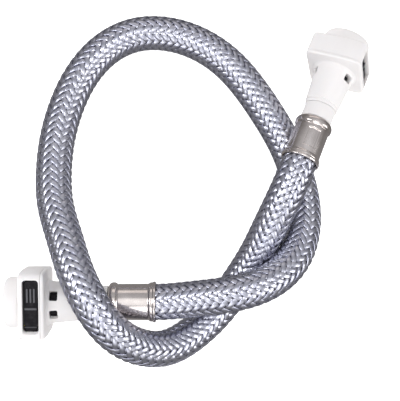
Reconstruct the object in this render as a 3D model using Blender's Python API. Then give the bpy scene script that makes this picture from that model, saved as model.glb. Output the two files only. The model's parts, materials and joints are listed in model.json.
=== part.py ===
"""Braided supply line: a stainless-braided hose with a push-to-connect coupler on each end.

The hose lies in one loose loop that passes over and under itself.  Each end is the same fitting: a
crimped ferrule holds the hose on a barbed stem, and the coupler turns on the stem.  A spring-loaded latch
button in the coupler's head locks a tap's nipple.  Dimensions are in millimetres, and MM turns them into
Blender's metres.

In a fitting's own frame, X runs out of the mouth with zero at the ferrule's hose end, Z points out of the
latch window, and Y runs across the head.
"""

from math import cos, pi, radians

import bmesh
import bpy
import numpy as np
from mathutils import Matrix, Vector

MM = 0.001

# Hose.
HOSE_RADIUS = 7.0
SLEEVE_WALL = 1.1
LINER_RADIUS = 5.5
LINER_WALL = 1.4
HOSE_SIDES = 12
LINER_SIDES = 8
RING_SPACING = 12.0

# The hose where the ferrule squeezes it.
CRIMP_RADIUS = 5.55
CRIMP_SLEEVE_WALL = 0.7
CRIMP_LINER_RADIUS = 4.55
CRIMP_LINER_WALL = 0.6
CRIMP_START = 3.4
HOSE_INSERTION = 14.5

# The hose's centreline from the left ferrule to the right one, chosen point by point.
ROUTE = [
    (-14.4, -46.1, 17.9),
    (-1.5, -45.1, 19.6),
    (11.5, -43.5, 22.0),
    (24.5, -40.0, 21.5),
    (35.0, -33.0, 17.8),
    (41.5, -22.5, 12.8),
    (43.5, -10.0, 8.8),
    (41.5, 2.5, 7.2),
    (37.0, 15.0, 7.0),
    (30.5, 26.5, 7.0),
    (23.0, 37.5, 7.0),
    (14.0, 47.5, 7.0),
    (2.5, 55.0, 7.0),
    (-10.0, 58.5, 7.0),
    (-23.0, 57.5, 7.0),
    (-34.5, 51.0, 7.1),
    (-43.0, 40.5, 7.6),
    (-48.5, 28.0, 8.8),
    (-51.5, 15.5, 10.8),
    (-52.5, 2.5, 13.8),
    (-51.5, -10.5, 17.8),
    (-48.0, -22.5, 22.6),
    (-44.0, -34.5, 27.4),
    (-38.5, -46.0, 30.0),
    (-31.0, -56.0, 27.0),
    (-21.5, -62.0, 20.8),
    (-10.5, -63.0, 14.2),
    (0.0, -58.0, 9.4),
    (10.0, -49.0, 7.2),
    (18.0, -38.5, 7.6),
    (24.5, -27.5, 11.6),
    (29.0, -17.0, 17.4),
    (34.0, -5.5, 21.8),
    (39.1, 6.4, 22.0),
]

# Each fitting's place: heading in plan, dip of the mouth, and roll of the latch window, in degrees.
ENDS = {
    "left": {"at": ROUTE[0], "heading": 180.0, "dip": 6.0, "roll": -11.0},
    "right": {"at": ROUTE[-1], "heading": 66.5, "dip": 8.1, "roll": 67.0},
}

# Stations along a fitting.
FERRULE_LENGTH = 17.2
SPIGOT_START = 17.5
BODY_START = 23.4
HEAD_START = 39.4
FLANGE_END = 40.7
HOUSING_START = 40.9
HOUSING_END = 48.9
RING_START = 49.15
MOUTH_FACE = 54.9

# Radii of a fitting.
STEM_BORE = 2.2
STEM_BARB = 3.4
STEM_RADIUS = 4.6
SPIGOT_RADIUS = 6.0
BODY_BORE = 4.95
RING_RADIUS = 9.3

# The latch head.
HEAD_HEIGHT = 25.0
HEAD_WIDTH = 22.0
HEAD_CORNER = 2.0
WINDOW = {"x": (41.3, 47.2), "height": 19.6, "corner": 1.3}
CAVITY = {"y": 11.0, "z": (-9.9, 9.6)}
BUTTON_CAP = {"x": (41.8, 46.7), "y": 9.5, "z": (8.1, 9.6)}
BUTTON_PLATE = {"x": (43.3, 46.7), "y": 9.1, "z": (-7.2, 8.4)}
BUTTON_HOLE_RADIUS = 5.7
BUTTON_HOLE_RISE = 0.8

# Side windows in the coupler body, which show the stem's retainer.
SIDE_WINDOW = {"x": (35.2, 38.2), "width": 3.8, "angle": 28.0}

# Turned pieces are built from this many flats.
OUTER_SIDES = 24
INNER_SIDES = 16
SEAL_SIDES = 6


def clear_scene():
    """Start from an empty scene."""
    for item in list(bpy.data.objects):
        bpy.data.objects.remove(item, do_unlink=True)


def material(name, colour, roughness, metallic=0.0):
    """A Principled material."""
    made = bpy.data.materials.new(name)
    made.use_nodes = True
    shader = made.node_tree.nodes["Principled BSDF"]
    shader.inputs["Base Color"].default_value = (*colour, 1.0)
    shader.inputs["Roughness"].default_value = roughness
    shader.inputs["Metallic"].default_value = metallic
    return made


def add_object(name, bm, finish, parent=None):
    """Turn a bmesh into a named object with one material, in its parent's frame."""
    bmesh.ops.recalc_face_normals(bm, faces=bm.faces)
    mesh = bpy.data.meshes.new(name)
    bm.to_mesh(mesh)
    bm.free()
    mesh.materials.append(finish)
    mesh.shade_smooth()
    mesh.set_sharp_from_angle(angle=radians(35.0))
    made = bpy.data.objects.new(name, mesh)
    bpy.context.collection.objects.link(made)
    made.parent = parent
    return made


def combine(target, other, operation):
    """Boolean a helper object into the target, and hide the helper from renders."""
    modifier = target.modifiers.new(other.name, "BOOLEAN")
    modifier.operation = operation
    modifier.solver = "EXACT"
    modifier.object = other
    other.hide_render = True
    other.display_type = "WIRE"


def turned(profile, sides, angle=360.0):
    """Turn a closed (x, radius) outline about the X axis."""
    bm = bmesh.new()
    verts = [bm.verts.new((x * MM, 0.0, radius * MM)) for x, radius in profile]
    edges = [bm.edges.new((a, b)) for a, b in zip(verts, verts[1:] + verts[:1])]
    full = angle == 360.0
    if not full:
        bm.faces.new(verts)
        start = list(bm.faces)
    bmesh.ops.spin(
        bm,
        geom=start if not full else verts + edges,
        cent=(0.0, 0.0, 0.0),
        axis=(1.0, 0.0, 0.0),
        angle=radians(angle),
        steps=sides,
        use_merge=full,
    )
    bmesh.ops.remove_doubles(bm, verts=bm.verts, dist=1e-7)
    return bm


def block(x_span, y_span, z_span, corner=0.0, segments=3, axis="x"):
    """A block with the four edges along one axis rounded."""
    spans = [x_span, y_span, z_span]
    size = [(high - low) * MM for low, high in spans]
    centre = [(high + low) / 2 * MM for low, high in spans]
    bm = bmesh.new()
    bmesh.ops.create_cube(bm, size=1.0)
    bmesh.ops.scale(bm, verts=bm.verts, vec=size)
    bmesh.ops.translate(bm, verts=bm.verts, vec=centre)
    if corner:
        along = "xyz".index(axis)
        edges = [e for e in bm.edges if abs((e.verts[0].co - e.verts[1].co)[along]) > size[along] / 2]
        bmesh.ops.bevel(bm, geom=edges, offset=corner * MM, segments=segments, profile=0.5, affect="EDGES")
    return bm


def ring_outline(x, radius, wire_radius, sides=SEAL_SIDES):
    """The round section of an O-ring."""
    angles = [2 * pi * i / sides for i in range(sides)]
    return [(x + wire_radius * cos(a), radius + wire_radius * cos(a - pi / 2)) for a in angles]


def smooth_route(points, start_direction, end_direction, samples=40):
    """Points on a smooth cubic curve through the given points, clamped to a direction at each end."""
    p = np.array(points, float)
    h = np.linalg.norm(np.diff(p, axis=0), axis=1)
    slopes = np.diff(p, axis=0) / h[:, None]
    n = len(p)
    matrix = np.zeros((n, n))
    right = np.zeros((n, 3))
    matrix[0, 0] = matrix[-1, -1] = 1.0
    right[0], right[-1] = start_direction, end_direction
    for i in range(1, n - 1):
        matrix[i, i - 1 : i + 2] = h[i], 2 * (h[i - 1] + h[i]), h[i - 1]
        right[i] = 3 * (h[i] * slopes[i - 1] + h[i - 1] * slopes[i])
    tangents = np.linalg.solve(matrix, right)
    curve = []
    for i in range(n - 1):
        for t in np.linspace(0.0, 1.0, samples, endpoint=False):
            curve.append(
                (2 * t**3 - 3 * t**2 + 1) * p[i]
                + (t**3 - 2 * t**2 + t) * h[i] * tangents[i]
                + (3 * t**2 - 2 * t**3) * p[i + 1]
                + (t**3 - t**2) * h[i] * tangents[i + 1]
            )
    return np.array(curve + [p[-1]])


def hose_stations(curve, start_direction, end_direction):
    """Ring centres along the hose, each with its depth inside a ferrule (negative outside)."""
    run = np.concatenate([[0.0], np.cumsum(np.linalg.norm(np.diff(curve, axis=0), axis=1))])
    depths = [HOSE_INSERTION, 9.0, CRIMP_START, 0.6]
    inside_start = [(curve[0] - start_direction * depth, depth) for depth in depths]
    inside_end = [(curve[-1] + end_direction * depth, depth) for depth in reversed(depths)]
    count = round((run[-1] - 4.0) / RING_SPACING)
    free = []
    for along in np.linspace(2.0, run[-1] - 2.0, count + 1):
        centre = np.array([np.interp(along, run, curve[:, k]) for k in range(3)])
        free.append((centre, -1.0))
    return inside_start + free + inside_end


def swept_tube(stations, sides, free_radii, crimp_radii):
    """A hollow tube through the stations, narrowing where a ferrule squeezes it."""
    centres = np.array([centre for centre, _ in stations])
    tangents = np.gradient(centres, axis=0)
    tangents /= np.linalg.norm(tangents, axis=1)[:, None]
    bm = bmesh.new()
    rings = []
    up = Vector((0.0, 0.0, 1.0))
    for (centre, depth), tangent in zip(stations, tangents):
        tangent = Vector(tangent)
        up = (up - tangent * up.dot(tangent)).normalized()
        side = tangent.cross(up)
        squeeze = min(max(depth / CRIMP_START, 0.0), 1.0)
        pair = []
        for free, crimped in zip(free_radii, crimp_radii):
            radius = free + (crimped - free) * squeeze
            ring = []
            for i in range(sides):
                turn = Matrix.Rotation(2 * pi * i / sides, 3, tangent)
                ring.append(bm.verts.new((Vector(centre) + turn @ side * radius) * MM))
            pair.append(ring)
        rings.append(pair)
    for first, second in zip(rings, rings[1:]):
        for surface in (0, 1):
            bridge(bm, first[surface], second[surface])
    for pair in (rings[0], rings[-1]):
        bridge(bm, pair[0], pair[1])
    return bm


def bridge(bm, first, second):
    """Faces between two rings with the same number of points."""
    count = len(first)
    for i in range(count):
        j = (i + 1) % count
        bm.faces.new((first[i], first[j], second[j], second[i]))


def make_ferrule(side, parent, finish):
    """A crimped stainless cup: flared rim at the hose, plain wall, rolled bead and an end lip."""
    outside = [(0.0, 7.15), (0.4, 7.4), (2.4, 7.4), (3.0, 6.8), (3.4, 6.5), (13.5, 6.5)]
    bead = [(14.0, 6.9), (14.8, 7.1), (16.1, 7.1), (16.9, 6.7), (FERRULE_LENGTH, 6.2)]
    inside = [(FERRULE_LENGTH, 4.5), (16.7, 4.5), (16.7, 5.9), (3.6, 5.95), (1.2, 6.9), (0.0, 6.95)]
    return add_object(f"ferrule_{side}", turned(outside + bead + inside, OUTER_SIDES), finish, parent)


def make_stem(side, parent, finish):
    """The barbed stem: hose barbs, a flange behind the ferrule's lip, a spigot and two seal grooves."""
    barbs = [(1.6, 2.9)]
    for tooth in range(3):
        start = 2.2 + 4.2 * tooth
        barbs += [(start, STEM_BARB), (start + 3.2, 2.95)]
    flange = [(14.9, 2.95), (14.9, 5.4), (16.3, 5.4), (16.3, 4.15)]
    spigot = [(SPIGOT_START, 4.15), (SPIGOT_START, SPIGOT_RADIUS), (23.1, SPIGOT_RADIUS), (23.1, STEM_RADIUS)]
    grooves = []
    for start, width, depth in ((26.6, 2.0, 1.3), (30.6, 2.0, 1.3), (35.5, 1.8, 1.0)):
        floor = STEM_RADIUS - depth
        end = start + width
        grooves += [(start, STEM_RADIUS), (start, floor), (end, floor), (end, STEM_RADIUS)]
    tip = [(37.7, STEM_RADIUS), (38.1, 4.2), (38.1, STEM_BORE), (1.6, STEM_BORE)]
    outline = barbs + flange + spigot + grooves + tip
    return add_object(f"stem_{side}", turned(outline, INNER_SIDES), finish, parent)


def make_seal(name, parent, finish, x, radius, wire_radius):
    """An O-ring."""
    return add_object(name, turned(ring_outline(x, radius, wire_radius), INNER_SIDES), finish, parent)


def make_stem_retainer(side, parent, finish):
    """A C-shaped clip in the stem's last groove, open towards one side of the head."""
    opening = 60.0
    outline = [(35.75, 3.95), (37.05, 3.95), (37.05, 5.7), (35.75, 5.7)]
    bm = turned(outline, 20, 360.0 - opening)
    bmesh.ops.rotate(bm, verts=bm.verts, cent=(0, 0, 0), matrix=Matrix.Rotation(radians(-60.0), 3, "X"))
    return add_object(f"stem_retainer_{side}", bm, finish, parent)


def make_coupler_body(side, parent, finish):
    """The coupler's tube and flange, bored for the stem, the seals and the nipple."""
    collar = [(BODY_START, 0.0), (BODY_START, 6.3), (24.5, 6.3), (24.5, 6.05), (25.0, 6.05), (25.0, 6.6)]
    cone = [(36.2, 7.6), (37.8, 7.9), (38.8, 8.4), (39.9, 9.2), (39.9, 6.4), (42.9, 6.4), (42.9, 0.0)]
    body = add_object(f"coupler_body_{side}", turned(collar + cone, OUTER_SIDES), finish, parent)

    half_height, half_width = HEAD_HEIGHT / 2, HEAD_WIDTH / 2
    flange = block(
        (HEAD_START, FLANGE_END), (-half_height, half_height), (-half_width, half_width), HEAD_CORNER
    )
    combine(body, add_object(f"flange_helper_{side}", flange, finish, parent), "UNION")

    bore = [(22.0, 0.0), (22.0, BODY_BORE), (35.1, BODY_BORE), (35.1, 6.0), (38.3, 6.0), (38.3, BODY_BORE)]
    gland = [(38.7, BODY_BORE), (38.7, 5.8), (42.4, 5.8), (42.4, BODY_BORE), (44.0, BODY_BORE), (44.0, 0.0)]
    bore_helper = add_object(f"bore_helper_{side}", turned(bore + gland, OUTER_SIDES), finish, parent)
    combine(body, bore_helper, "DIFFERENCE")

    low, high = SIDE_WINDOW["x"]
    half = SIDE_WINDOW["width"] / 2
    for number, tilt in enumerate((-1, 1)):
        cutter = block((low, high), (-half, half), (-10.0, 10.0), 0.6, 2, "z")
        turn = Matrix.Rotation(radians(tilt * SIDE_WINDOW["angle"]), 3, "X")
        bmesh.ops.rotate(cutter, verts=cutter.verts, cent=(0, 0, 0), matrix=turn)
        helper = add_object(f"side_window_helper_{number}_{side}", cutter, finish, parent)
        combine(body, helper, "DIFFERENCE")
    return body


def make_latch_housing(side, parent, finish):
    """The head's shell: open towards the body, with a window for the button and a hole for the nipple."""
    half_height, half_width = HEAD_HEIGHT / 2, HEAD_WIDTH / 2
    shell = block(
        (HOUSING_START, HOUSING_END), (-half_height, half_height), (-half_width, half_width), HEAD_CORNER
    )
    housing = add_object(f"latch_housing_{side}", shell, finish, parent)
    cavity = block((40.0, 47.2), (-CAVITY["y"], CAVITY["y"]), CAVITY["z"], 1.0, 2)
    window_half = WINDOW["height"] / 2
    window = block(WINDOW["x"], (-window_half, window_half), (9.0, 12.0), WINDOW["corner"], 3, "z")
    nipple_hole = turned([(46.5, 0.0), (46.5, 6.6), (50.0, 6.6), (50.0, 0.0)], OUTER_SIDES)
    for part, bm in (("cavity", cavity), ("window", window), ("nipple_hole", nipple_hole)):
        helper = add_object(f"{part}_helper_{side}", bm, finish, parent)
        combine(housing, helper, "DIFFERENCE")
    return housing


def make_latch_button(side, parent, finish):
    """The sliding latch: a thumb cap in the window on a plate that the nipple passes through."""
    cap_half, plate_half = BUTTON_CAP["y"], BUTTON_PLATE["y"]
    cap = block(BUTTON_CAP["x"], (-cap_half, cap_half), BUTTON_CAP["z"], 1.0, 3, "z")
    button = add_object(f"latch_button_{side}", cap, finish, parent)
    plate = block(BUTTON_PLATE["x"], (-plate_half, plate_half), BUTTON_PLATE["z"], 1.5, 3)
    combine(button, add_object(f"plate_helper_{side}", plate, finish, parent), "UNION")
    hole_outline = [(41.0, 0.0), (41.0, BUTTON_HOLE_RADIUS), (48.0, BUTTON_HOLE_RADIUS), (48.0, 0.0)]
    hole = turned(hole_outline, OUTER_SIDES)
    bmesh.ops.translate(hole, verts=hole.verts, vec=(0.0, 0.0, BUTTON_HOLE_RISE * MM))
    combine(button, add_object(f"hole_helper_{side}", hole, finish, parent), "DIFFERENCE")
    return button


def make_latch_spring(side, parent, finish):
    """A bowed strip of spring steel under the latch plate."""
    half_span, foot, bow, thickness = 8.0, -9.65, 1.95, 0.3
    x_span = (43.9, 46.1)
    steps = 10
    bm = bmesh.new()
    rings = []
    for i in range(steps + 1):
        share = i / steps
        y = -half_span + 2 * half_span * share
        z = foot + bow * (1 - cos(2 * pi * share)) / 2
        corners = [(x_span[0], z), (x_span[1], z), (x_span[1], z + thickness), (x_span[0], z + thickness)]
        rings.append([bm.verts.new((x * MM, y * MM, height * MM)) for x, height in corners])
    for first, second in zip(rings, rings[1:]):
        bridge(bm, first, second)
    bm.faces.new(rings[0])
    bm.faces.new(rings[-1])
    return add_object(f"latch_spring_{side}", bm, finish, parent)


def make_mouth_ring(side, parent, finish):
    """The mouth's guide ring, with a sleeve that reaches into the head and a lead-in for the nipple."""
    sleeve = [(47.6, 6.2), (RING_START, 6.2)]
    rim = [(RING_START, 8.8), (49.7, 9.2), (53.0, RING_RADIUS), (54.3, 9.0), (MOUTH_FACE, 8.3)]
    throat = [(MOUTH_FACE, 6.6), (53.2, 5.3), (47.6, 5.2)]
    return add_object(f"mouth_ring_{side}", turned(sleeve + rim + throat, OUTER_SIDES), finish, parent)


def make_seal_spacer(side, parent, finish):
    """A thin ring that keeps the two nipple seals apart."""
    outline = [(40.3, 4.95), (40.8, 4.95), (40.8, 5.55), (40.3, 5.55)]
    return add_object(f"seal_spacer_{side}", turned(outline, INNER_SIDES), finish, parent)


def make_end(side, place, finishes):
    """One complete fitting on its empty, whose X axis is the coupler's swivel axis."""
    parent = bpy.data.objects.new(f"{side}_end", None)
    bpy.context.collection.objects.link(parent)
    parent.location = Vector(place["at"]) * MM
    parent.rotation_euler = [radians(place[key]) for key in ("roll", "dip", "heading")]

    make_ferrule(side, parent, finishes["stainless_ferrule"])
    make_stem(side, parent, finishes["white_acetal"])
    make_seal(f"stem_seal_inner_{side}", parent, finishes["seal_rubber"], 27.6, 4.15, 0.55)
    make_seal(f"stem_seal_outer_{side}", parent, finishes["seal_rubber"], 31.6, 4.15, 0.55)
    make_stem_retainer(side, parent, finishes["black_plastic"])
    make_coupler_body(side, parent, finishes["white_acetal"])
    make_latch_housing(side, parent, finishes["white_acetal"])
    make_latch_button(side, parent, finishes["black_plastic"])
    make_latch_spring(side, parent, finishes["spring_steel"])
    make_mouth_ring(side, parent, finishes["white_acetal"])
    make_seal(f"nipple_seal_inner_{side}", parent, finishes["seal_rubber"], 39.5, 5.05, 0.55)
    make_seal(f"nipple_seal_outer_{side}", parent, finishes["seal_rubber"], 41.6, 5.05, 0.55)
    make_seal_spacer(side, parent, finishes["white_acetal"])
    return parent


def make_hose(start, end, finishes):
    """The braided sleeve and the liner inside it, running into both ferrules."""
    bpy.context.view_layer.update()
    start_direction = -np.array(start.matrix_world.to_3x3() @ Vector((1.0, 0.0, 0.0)))
    end_direction = np.array(end.matrix_world.to_3x3() @ Vector((1.0, 0.0, 0.0)))
    curve = smooth_route(ROUTE, start_direction, end_direction)
    stations = hose_stations(curve, start_direction, end_direction)
    sleeve_free = (HOSE_RADIUS, HOSE_RADIUS - SLEEVE_WALL)
    sleeve_crimp = (CRIMP_RADIUS, CRIMP_RADIUS - CRIMP_SLEEVE_WALL)
    sleeve = swept_tube(stations, HOSE_SIDES, sleeve_free, sleeve_crimp)
    add_object("braided_sleeve", sleeve, finishes["stainless_braid"])
    liner_free = (LINER_RADIUS, LINER_RADIUS - LINER_WALL)
    liner_crimp = (CRIMP_LINER_RADIUS, CRIMP_LINER_RADIUS - CRIMP_LINER_WALL)
    liner = swept_tube(stations, LINER_SIDES, liner_free, liner_crimp)
    add_object("inner_tube", liner, finishes["liner_rubber"])


def main():
    clear_scene()
    finishes = {
        "stainless_braid": material("stainless_braid", (0.42, 0.42, 0.46), 0.3, 1.0),
        "stainless_ferrule": material("stainless_ferrule", (0.62, 0.60, 0.57), 0.22, 1.0),
        "white_acetal": material("white_acetal", (0.86, 0.87, 0.88), 0.35),
        "black_plastic": material("black_plastic", (0.02, 0.02, 0.022), 0.4),
        "seal_rubber": material("seal_rubber", (0.015, 0.015, 0.015), 0.6),
        "liner_rubber": material("liner_rubber", (0.08, 0.08, 0.085), 0.6),
        "spring_steel": material("spring_steel", (0.55, 0.56, 0.58), 0.25, 1.0),
    }
    placed = {side: make_end(side, place, finishes) for side, place in ENDS.items()}
    make_hose(placed["left"], placed["right"], finishes)


main()
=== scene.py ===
"""Looks of the braided supply line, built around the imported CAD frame.

The hose is woven strand by strand along the CAD route. Each fitting is built in its own frame, where X runs
from the ferrule's hose end out of the mouth and Z points out of the latch window, and the same code makes
both ends. Lengths are in millimetres unless a comment says otherwise, and MM turns them into metres.
"""

import json
from math import cos, pi, radians, sin

import bmesh
import bpy
import numpy as np
from mathutils import Matrix, Vector

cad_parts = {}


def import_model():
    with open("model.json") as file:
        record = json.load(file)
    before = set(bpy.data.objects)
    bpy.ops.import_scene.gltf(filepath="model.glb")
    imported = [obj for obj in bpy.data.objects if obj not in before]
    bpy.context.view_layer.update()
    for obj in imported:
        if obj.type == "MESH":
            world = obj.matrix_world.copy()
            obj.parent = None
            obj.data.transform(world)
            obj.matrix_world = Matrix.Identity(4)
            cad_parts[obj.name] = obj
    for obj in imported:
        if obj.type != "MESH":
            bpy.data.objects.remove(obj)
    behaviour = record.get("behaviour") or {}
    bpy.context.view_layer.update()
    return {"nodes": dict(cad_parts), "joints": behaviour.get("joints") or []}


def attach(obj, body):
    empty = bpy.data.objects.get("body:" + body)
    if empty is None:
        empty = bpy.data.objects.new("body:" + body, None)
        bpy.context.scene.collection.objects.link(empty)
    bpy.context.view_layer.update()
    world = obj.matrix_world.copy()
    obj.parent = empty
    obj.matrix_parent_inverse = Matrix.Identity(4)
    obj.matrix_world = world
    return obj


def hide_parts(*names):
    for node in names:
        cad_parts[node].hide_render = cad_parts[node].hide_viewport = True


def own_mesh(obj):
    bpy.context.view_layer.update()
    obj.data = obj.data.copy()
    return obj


MM = 0.001
SIDES = ("left", "right")

# The hose's centreline from the left ferrule to the right one, as in the CAD.
ROUTE = [
    (-14.4, -46.1, 17.9),
    (-1.5, -45.1, 19.6),
    (11.5, -43.5, 22.0),
    (24.5, -40.0, 21.5),
    (35.0, -33.0, 17.8),
    (41.5, -22.5, 12.8),
    (43.5, -10.0, 8.8),
    (41.5, 2.5, 7.2),
    (37.0, 15.0, 7.0),
    (30.5, 26.5, 7.0),
    (23.0, 37.5, 7.0),
    (14.0, 47.5, 7.0),
    (2.5, 55.0, 7.0),
    (-10.0, 58.5, 7.0),
    (-23.0, 57.5, 7.0),
    (-34.5, 51.0, 7.1),
    (-43.0, 40.5, 7.6),
    (-48.5, 28.0, 8.8),
    (-51.5, 15.5, 10.8),
    (-52.5, 2.5, 13.8),
    (-51.5, -10.5, 17.8),
    (-48.0, -22.5, 22.6),
    (-44.0, -34.5, 27.4),
    (-38.5, -46.0, 30.0),
    (-31.0, -56.0, 27.0),
    (-21.5, -62.0, 20.8),
    (-10.5, -63.0, 14.2),
    (0.0, -58.0, 9.4),
    (10.0, -49.0, 7.2),
    (18.0, -38.5, 7.6),
    (24.5, -27.5, 11.6),
    (29.0, -17.0, 17.4),
    (34.0, -5.5, 21.8),
    (39.1, 6.4, 22.0),
]

# Camera: nearly straight above, leaning towards the left fitting. Angles are in degrees.
CAMERA_TARGET = (2.8, -7.5, 10.0)
CAMERA_DISTANCE = 345.0
CAMERA_LEAN = 9.0
CAMERA_AZIMUTH = 225.0
CAMERA_LENS = 81.0
CAMERA_SENSOR = 36.0

# Lamps that face the object: name, place and size in metres, power in watts, colour.
NEUTRAL = (1.0, 1.0, 1.0)
COOL = (0.97, 0.98, 1.0)
WARM = (1.0, 0.92, 0.88)
LAMPS = [
    ("overhead", (0.0, -0.05, 0.85), (0.7, 0.7), 0.9, NEUTRAL),
    ("top_spot", (0.0, 0.0, 0.86), (0.08, 0.08), 0.85, NEUTRAL),
    ("left_key", (-0.60, 0.0, 0.58), (0.36, 0.36), 3.1, COOL),
    ("front_key", (-0.20, -0.58, 0.53), (0.36, 0.36), 1.0, COOL),
    ("back", (0.1, 0.8, 0.35), (0.8, 0.3), 0.5, WARM),
    ("front", (0.1, -0.75, 0.4), (0.6, 0.3), 0.6, NEUTRAL),
    ("right_fill", (0.7, -0.25, 0.45), (0.5, 0.5), 2.8, NEUTRAL),
]

# The room's light.
ROOM_AT_HORIZON = (0.26, 0.255, 0.26, 1.0)
ROOM_ABOVE = (0.63, 0.64, 0.67, 1.0)

# Floor: half its width and how far it lies below the object, in metres.
FLOOR_SIZE = 3.0
FLOOR_DROP = 0.0002

# Braid. A strand is a flat ribbon of wires, and its crown drops its edges below its middle. Its crests and
# valleys are shares of its thickness, and its underside a share of its width.
CARRIERS = 12
BRAID_LEAD = 37.0
RIBBON_WIDTH = 1.92
RIBBON_THICKNESS = 0.34
RIBBON_CROWN = 0.24
RIBBON_CREST = 0.5
RIBBON_VALLEY = 0.28
RIBBON_UNDERSIDE = 0.94
FILAMENTS = 5
BRAID_RADIUS = 6.56
WEAVE_HEIGHT = 0.27
WEAVE_FLATNESS = 1.9
POINTS_PER_TURN = 60
BRAID_DEPTH = 4.0
CRIMP_SQUEEZE = 1.15
CRIMP_LEAD_IN = 1.2

# The straight parts of the centreline inside the ferrules.
STRAIGHT_POINTS = 12
STRAIGHT_GAP = 0.5

# Liner: free and crimped radii.
LINER_OUTER = (5.85, 4.6)
LINER_INNER = (4.1, 3.7)
LINER_DEPTH = 14.5
LINER_CRIMP_DEPTH = 3.4
LINER_SIDES = 24
LINER_STATIONS = 260

# Stations along a fitting.
FERRULE_LENGTH = 17.2
SPIGOT_START = 17.5
SPIGOT_END = 23.3
BODY_START = 23.4
BODY_END = 42.9
HEAD_START = 39.4
FLANGE_END = 40.76
HOUSING_START = 40.86
HOUSING_END = 48.9
RING_START = 49.15
MOUTH_FACE = 54.9

# The latch head.
HEAD_HEIGHT = 25.0
HEAD_WIDTH = 22.0
HEAD_CORNER = 3.0
HEAD_FOLD = {"z": 2.4, "draft": 0.55}
HEAD_FOLD_ROUNDING = 0.3
LEAST_CORNER = 0.4
WINDOW = {"x": (41.3, 47.2), "height": 19.6, "z": (8.0, 13.0), "corner": 1.3, "slope": 0.65}
SIDE_WINDOW = {"x": (35.2, 38.2), "width": 3.8, "angle": 28.0, "reach": 12.0, "corner": 0.6}
CAVITY = {"x": (40.0, 47.2), "y": (-11.0, 11.0), "z": (-9.9, 9.6), "corner": 1.0}
NIPPLE_HOLE = {"x": (46.5, 50.0), "radius": 6.6}

# The coupler's bore, with a seat for the clip and a gland for the nipple's seals, and the sleeve around it.
BORE = {"x": (22.0, 44.0), "radius": 4.95}
CLIP_SEAT = {"x": (35.1, 38.3), "radius": 6.0}
GLAND = {"x": (38.7, 42.4), "radius": 5.8}
SLEEVE_RADIUS = 6.4
TUBE_OVERLAP = 0.6

# The stem: radii, three barbs, and (start, width, depth) of the two seal grooves and the clip's groove.
STEM_X = (1.6, 38.1)
STEM_BORE = 2.2
STEM_NECK = 4.15
STEM_RADIUS = 4.6
SPIGOT_RADIUS = 6.0
BARB = {"start": 2.2, "pitch": 4.2, "length": 3.2, "tip": 2.9, "root": 2.95, "crest": 3.4, "count": 3}
STEM_FLANGE = {"x": (14.9, 16.3), "radius": 5.4}
STEM_GROOVES = ((26.6, 2.0, 1.3), (30.6, 2.0, 1.3), (35.5, 1.8, 1.0))

# The stem's clip, turned part of the way round, in degrees.
CLIP_COLLAR = {"x": (35.3, 38.1), "radii": (4.7, 5.85)}
CLIP_FIN = {"x": (35.75, 37.05), "radius": 3.95}
CLIP_WRAP = 300.0
CLIP_START = -60.0
CLIP_SIDES = 60

# The latch: cap, plate, the nipple's hole through the plate, what stands on the cap, and the painted grey
# highlight on its tops.
CAP = {"x": (41.7, 46.8), "y": (-9.5, 8.6), "z": (8.1, 9.5), "corner": 1.2}
PLATE = {"x": (43.3, 46.7), "y": (-9.1, 9.1), "z": (-7.2, 8.4), "corner": 1.5}
PLATE_HOLE = {"x": (41.0, 48.0), "radius": 5.7, "lift": 0.8}
RIDGE_CENTRES = (43.0, 44.25, 45.5)
RIDGE = {"half_width": 0.3, "y": (-6.6, -1.6), "z": (9.2, 10.1), "corner": 0.25}
GRIP_BAR = {"x": (42.2, 46.4), "y": (0.3, 1.1), "z": (9.2, 10.2), "corner": 0.3}
LOW_BAR = {"x": (42.2, 46.4), "y": (7.0, 7.6), "z": (9.2, 9.9), "corner": 0.25}
# Painted highlight: the heights over which the latch's tops turn from black to a painted grey glint, and
# that grey.
GLINT_PAINT_Z = (9.75, 10.0)
GLINT_PAINT_GREY = (0.10, 0.10, 0.108, 1.0)

# The latch's spring strip.
SPRING = {"x": (43.9, 46.1), "length": 16.0, "foot": -9.65, "bow": 1.9, "thickness": 0.3, "corner": 0.1}
SPRING_STEPS = 24

# The flat pressed into the right ferrule.
FLAT = {"x": (4.8, 12.4), "half_width": 2.3, "depth": 0.8, "edge": 0.3, "crown": 0.03}
FLAT_CUTS = 60

# The ferrule's plain wall. Only points beyond the least radius and height are pressed in, and only edges
# longer than the least length are cut for it.
WALL_RADIUS = 6.6
WALL_LEAST_RADIUS = 6.2
WALL_LEAST_HEIGHT = 5.0
WALL_LEAST_EDGE = 5.0

# Mesh detail, with angles in degrees.
TURNED_SIDES = 72
FERRULE_SIDES = 120
SHARP_ANGLE = 35.0
CARVED_SHARP_ANGLE = 32.0
EASED_ANGLE = 40.0

# Sockets of a colour Mix node, whose inputs share their names with the other kinds of mix.
MIX_FIRST, MIX_SECOND, MIX_RESULT = 6, 7, 2

# Finishes of the CAD nodes that stay as they are.
CARRIED_FINISHES = {
    "seal_rubber": ("stem_seal_inner", "stem_seal_outer", "nipple_seal_inner", "nipple_seal_outer"),
    "moulded_white": ("seal_spacer",),
}


# ---------------------------------------------------------------- curves along the hose


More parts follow.
